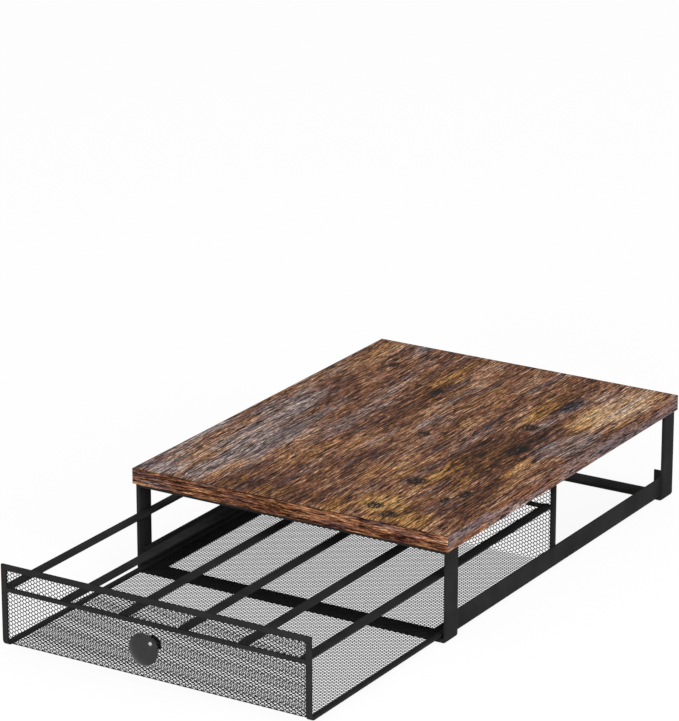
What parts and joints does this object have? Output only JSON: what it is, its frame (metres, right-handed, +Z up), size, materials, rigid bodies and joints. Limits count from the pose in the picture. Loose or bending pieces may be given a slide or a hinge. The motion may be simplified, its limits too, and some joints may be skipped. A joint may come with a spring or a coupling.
{
  "type": "coffee pod drawer",
  "caption": "Wooden board on flat-bar legs over a sliding mesh drawer that holds coffee pods by their rims between flat strips, opened by a round knob.",
  "frame": {"origin": "centre of the footprint, on the surface that the feet stand on, with the drawer open as shown", "axes": "+X to the object's right as seen from the drawer's front, +Y towards the rear, +Z up; the drawer opens along -Y"},
  "size_m": [0.282, 0.573, 0.087],
  "materials": {
    "rustic_laminate": "satin printed wood-grain laminate, brown with dark and ochre streaks",
    "edge_band_laminate": "satin wood-grain edge band",
    "black_powder_coat": "matte black powder coat",
    "black_mesh": "matte black coated expanded mesh",
    "knob_black": "semi-matte black",
    "zinc_screws": "zinc plated"
  },
  "bodies": {
    "stand": {"top_board": "rustic_laminate", "front_edge_band": "edge_band_laminate", "rear_edge_band": "edge_band_laminate", "left_edge_band": "edge_band_laminate", "right_edge_band": "edge_band_laminate", "front_left_leg": "black_powder_coat", "front_right_leg": "black_powder_coat", "rear_left_leg": "black_powder_coat", "rear_right_leg": "black_powder_coat", "front_foot_bar": "black_powder_coat", "rear_foot_bar": "black_powder_coat", "front_crossbar": "black_powder_coat", "rear_crossbar": "black_powder_coat", "board_screws": "zinc_screws", "left_runner": "black_powder_coat", "right_runner": "black_powder_coat", "left_rear_stop": "black_powder_coat", "right_rear_stop": "black_powder_coat"},
    "drawer": {"left_side_frame": "black_powder_coat", "right_side_frame": "black_powder_coat", "front_rim_bar": "black_powder_coat", "rear_rim_bar": "black_powder_coat", "front_mid_bar": "black_powder_coat", "rear_mid_bar": "black_powder_coat", "pod_strip_1": "black_powder_coat", "pod_strip_2": "black_powder_coat", "pod_strip_3": "black_powder_coat", "pod_strip_4": "black_powder_coat", "pod_strip_5": "black_powder_coat", "pod_strip_6": "black_powder_coat", "front_upper_mesh": "black_mesh", "front_lower_mesh": "black_mesh", "floor_mesh": "black_mesh", "rear_lower_mesh": "black_mesh", "rear_upper_mesh": "black_mesh", "knob": "knob_black", "knob_screw": "zinc_screws", "knob_washer": "zinc_screws"}
  },
  "joints": [
    {"name": "drawer_slide", "type": "slide", "parent": "stand", "child": "drawer", "axis": [0, -1, 0], "range_m": [-0.19, 0.08]}
  ]
}
